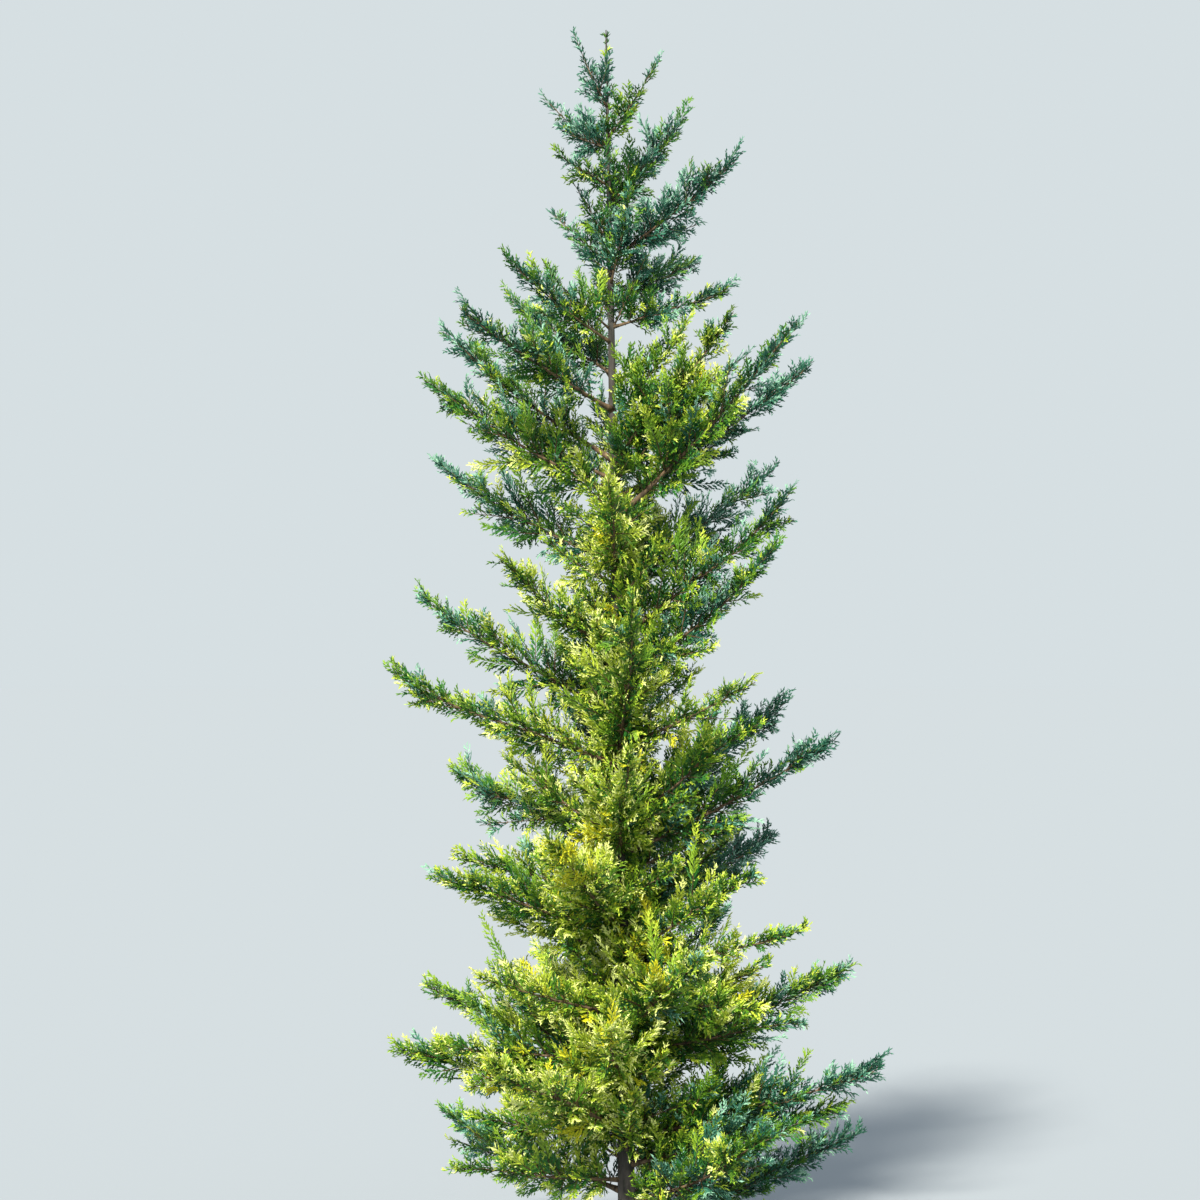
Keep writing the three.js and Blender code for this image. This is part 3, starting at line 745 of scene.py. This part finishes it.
# Colour is tint and painted light together, set by where a spray's tip stands. Painted shade and
# painted sky reflection make sprays blue-green aloft, on the right, out at the sides and behind.
# Painted sunlight makes them yellow-green in the front of the heart of the crown. Patches, boughs
# and single sprays vary at random, and there are a few golden tips.
LEAF_COLOURS = {
    "leaf_shade": srgb(26, 80, 62),
    "leaf_blue": srgb(56, 112, 92),
    "leaf_deep": srgb(42, 102, 36),
    "leaf_mid": srgb(86, 130, 28),
    "leaf_fresh": srgb(128, 162, 40),
    "leaf_yellow": srgb(176, 194, 60),
    "leaf_gold": srgb(208, 206, 42),
    # The two palest colours go on the young edges of sprays: paler new growth, lightened further by a painted
    # highlight, and for the blue-green one by a painted sky reflection.
    "leaf_frost": srgb(128, 174, 150),
    "leaf_pale": srgb(218, 226, 138),
    "leaf_dark": srgb(36, 82, 20),
}
SPRAY_TONES = [  # from cold to warm: the old foot of a spray, darker growth with painted shade, the body of it, and its young edge, paler growth with a painted highlight
    ("leaf_shade", "leaf_shade", "leaf_blue"),
    ("leaf_shade", "leaf_blue", "leaf_frost"),
    ("leaf_dark", "leaf_deep", "leaf_mid"),
    ("leaf_dark", "leaf_mid", "leaf_fresh"),
    ("leaf_deep", "leaf_fresh", "leaf_yellow"),
    ("leaf_mid", "leaf_yellow", "leaf_pale"),
    ("leaf_yellow", "leaf_gold", "leaf_gold"),
]
TONE_LIMITS = [-0.45, 0.02, 0.22, 0.48, 0.80, 1.46]  # warmth between one tone and the next
OLD_AND_SHADED_FOOT = 0.46  # the share of a spray at which its old foot ends; the darker foot is partly older growth and partly painted shade inside the plume
YOUNG_AND_LIT_EDGE = 0.82  # and the share at which its young edge starts; the paler edge is partly young growth and partly a painted highlight
WARMTH = 0.66  # in the heart of the crown, where painted sunlight makes sprays warmest
# Painted shade and painted sky reflection: the tones cool aloft, to the right, away from the sunniest line
# and behind, where less of the key light falls.
PAINTED_COOL_ALOFT = 0.75
COOL_FROM = 1.52
COOL_OVER = 0.8
COOL_LEAST = -0.1  # and a little warmer low down
PAINTED_SHADE_RIGHT = 0.38
PAINTED_SHADE_OUTWARD = 1.72
WARM_LINE = -0.06  # the sunniest place across the crown
PAINTED_SHADE_BEHIND = 0.25
BEHIND = 0.3
PATCHES = 0.30  # how much warmth changes from patch to patch, bough to bough and spray to spray
PATCH_PITCH = 11
BOUGH_VARIETY = 0.17
SPRAY_VARIETY = 0.30
GOLDEN_TIPS = ((-0.11, 0.87), (0.02, 0.66), (0.22, 0.61), (-0.30, 0.42), (-0.13, 0.32), (0.15, 1.83))
GOLDEN_SPREAD = 0.06
GOLDEN_WARMTH = (0.4, 1.3)
spray_tip = on_shoot(np.arange(shoot_count), np.ones(shoot_count))
tip_x, tip_y, tip_z = spray_tip.T
tint_and_painted_light = WARMTH - PAINTED_COOL_ALOFT * np.clip((tip_z - COOL_FROM) / COOL_OVER, COOL_LEAST, 1)
tint_and_painted_light = tint_and_painted_light - PAINTED_SHADE_RIGHT * tip_x - PAINTED_SHADE_OUTWARD * np.abs(tip_x - WARM_LINE)
tint_and_painted_light = tint_and_painted_light - PAINTED_SHADE_BEHIND * np.clip(tip_y / BEHIND, -1, 1)
tint_and_painted_light = tint_and_painted_light + PATCHES * np.array([noise.noise(Vector(PATCH_PITCH * tip)) for tip in spray_tip])
for across, up in GOLDEN_TIPS:
    off = (tip_x - across) ** 2 + (tip_z - up) ** 2
    golden = growth.uniform(*GOLDEN_WARMTH, shoot_count) * np.exp(-off / GOLDEN_SPREAD ** 2)
    tint_and_painted_light = tint_and_painted_light + np.where(tip_y < 0, golden, 0)
bough_tone = growth.normal(0, BOUGH_VARIETY, len(boughs) + 1)
tint_and_painted_light = tint_and_painted_light + bough_tone[shoot_bough] + growth.normal(0, SPRAY_VARIETY, shoot_count)
spray_tone = np.digitize(tint_and_painted_light, TONE_LIMITS)

branch_points = slivers(branch_foot, branch_along, branch_across, branch_length,
                        np.full(len(branch_foot), BRANCHLET_WIDTH))
cord_points = slivers(cord_foot, cord_along, cord_across, cord_length,
                      np.full(len(cord_foot), CORD_WIDTH))
sliver_points = np.concatenate([branch_points, cord_points])
sliver_shoot = np.concatenate([branch_shoot, branch_shoot[cord_branch]])
sliver_share = np.concatenate([branch_share, branch_share[cord_branch]])
sliver_edge = np.concatenate([branch_share, np.maximum(branch_share[cord_branch], cord_share)])
sliver_part = np.where(sliver_edge > YOUNG_AND_LIT_EDGE, 2, np.where(sliver_share < OLD_AND_SHADED_FOOT, 0, 1))
leaf_names = list(LEAF_COLOURS)
tone_colours = np.array([[leaf_names.index(name) for name in tone] for tone in SPRAY_TONES])
sliver_colour = tone_colours[spray_tone[sliver_shoot], sliver_part]
leaf_materials = [plain_material(name, colour, roughness=0.5, gloss=0.45)
                  for name, colour in LEAF_COLOURS.items()]
LEVELS = ("low", "middle", "high")
LEVEL_HEIGHTS = [0.55, 1.25]
shoot_level = np.digitize(shoot_foot[:, 2], LEVEL_HEIGHTS)
for number, side_name in enumerate(SIDES):
    for level, level_name in enumerate(LEVELS):
        of_group = (bough_side[shoot_bough] == number) & (shoot_level == level)
        chosen = np.nonzero(of_group[sliver_shoot])[0]
        first = 4 * np.arange(len(chosen))[:, None]
        faces = np.concatenate([first + [0, 1, 2], first + [0, 2, 3]], axis=1).reshape(-1, 3)
        kinds = np.repeat(sliver_colour[chosen], 2)
        sprays = mesh_piece(f"sprays_{side_name}_{level_name}", sliver_points[chosen].reshape(-1, 3), faces,
                            leaf_materials, kinds)
        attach(sprays, "root")
        bearers = [boughs[n] for n in sorted(set(shoot_bough[of_group].tolist())) if n >= 0]
        grown_from = {(bough.forked_from or bough).name for bough in bearers if not bough.inner}
        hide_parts(*[f"foliage_{name}" for name in sorted(grown_from)])


# The stage: a plain pale floor under a pale sky, which gives a soft cool fill. A warm key light stands
# high in front and to the left, and the camera looks level at the crown.
FLOOR_HALF = 40
floor_mesh = bpy.data.meshes.new("floor")
floor_corners = [(x * FLOOR_HALF, y * FLOOR_HALF, 0) for x, y in ((-1, -1), (1, -1), (1, 1), (-1, 1))]
floor_mesh.from_pydata(floor_corners, [], [(0, 1, 2, 3)])
floor = bpy.data.objects.new("floor", floor_mesh)
bpy.context.scene.collection.objects.link(floor)
floor.data.materials.append(plain_material("floor_pale", srgb(145, 152, 161), roughness=1.0, gloss=0.0))

KEY_WAY = Vector((0.30, 0.76, -0.74))
key_data = bpy.data.lights.new("key", "SUN")
key_data.energy = 8.0
key_data.angle = math.radians(8)
key_data.color = (1.0, 0.94, 0.80)
key = bpy.data.objects.new("key", key_data)
bpy.context.scene.collection.objects.link(key)
key.rotation_euler = KEY_WAY.to_track_quat("-Z", "Y").to_euler()

sky = bpy.data.worlds.new("pale_sky")
sky.use_nodes = True
sky.node_tree.nodes["Background"].inputs["Color"].default_value = (0.82, 0.90, 0.93, 1)
sky.node_tree.nodes["Background"].inputs["Strength"].default_value = 0.82
bpy.context.scene.world = sky
bpy.context.scene.view_settings.view_transform = "Standard"

CAMERA_DISTANCE = 6.0
SENSOR_WIDTH = 36  # millimetres
FRAME_WIDTH = 2.4
FRAME_CENTRE = (-0.056, 1.36)
camera_data = bpy.data.cameras.new("camera")
camera_data.sensor_width = SENSOR_WIDTH
camera_data.lens = SENSOR_WIDTH * CAMERA_DISTANCE / FRAME_WIDTH
camera = bpy.data.objects.new("camera", camera_data)
bpy.context.scene.collection.objects.link(camera)
camera.location = (FRAME_CENTRE[0], -CAMERA_DISTANCE, FRAME_CENTRE[1])
camera.rotation_euler = (math.radians(90), 0, 0)
bpy.context.scene.camera = camera
